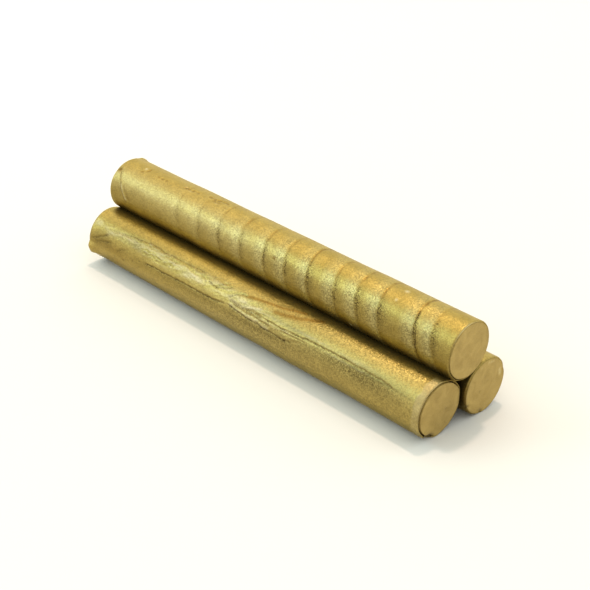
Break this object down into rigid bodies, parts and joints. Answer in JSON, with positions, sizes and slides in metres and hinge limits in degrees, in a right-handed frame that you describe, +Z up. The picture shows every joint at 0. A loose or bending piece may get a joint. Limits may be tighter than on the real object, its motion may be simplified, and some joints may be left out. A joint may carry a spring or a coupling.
{
  "type": "sealing wax stick",
  "caption": "Round cast sticks of gold pearl sealing wax, loosely stacked in a pyramid, each with a flat end, a dished pour end and the rings and folds of its casting",
  "frame": {"origin": "on the table, under the middle of the stack", "axes": "+X along the sticks towards their flat ends, -Y the front stick's side, +Z up"},
  "size_m": [0.09, 0.0229, 0.0205],
  "materials": {
    "gold_wax": "satin"
  },
  "bodies": {
    "front_stick": {"front_stick": "gold_wax"},
    "rear_stick": {"rear_stick": "gold_wax"},
    "top_stick": {"top_stick": "gold_wax"}
  },
  "joints": [
    {"name": "top_stick_lift", "type": "slide", "parent": "front_stick", "child": "top_stick", "axis": [0, 0, 1], "range_m": [0, 0.04]},
    {"name": "rear_stick_draw", "type": "slide", "parent": "front_stick", "child": "rear_stick", "axis": [1, 0, 0], "range_m": [-0.095, 0.095]}
  ]
}
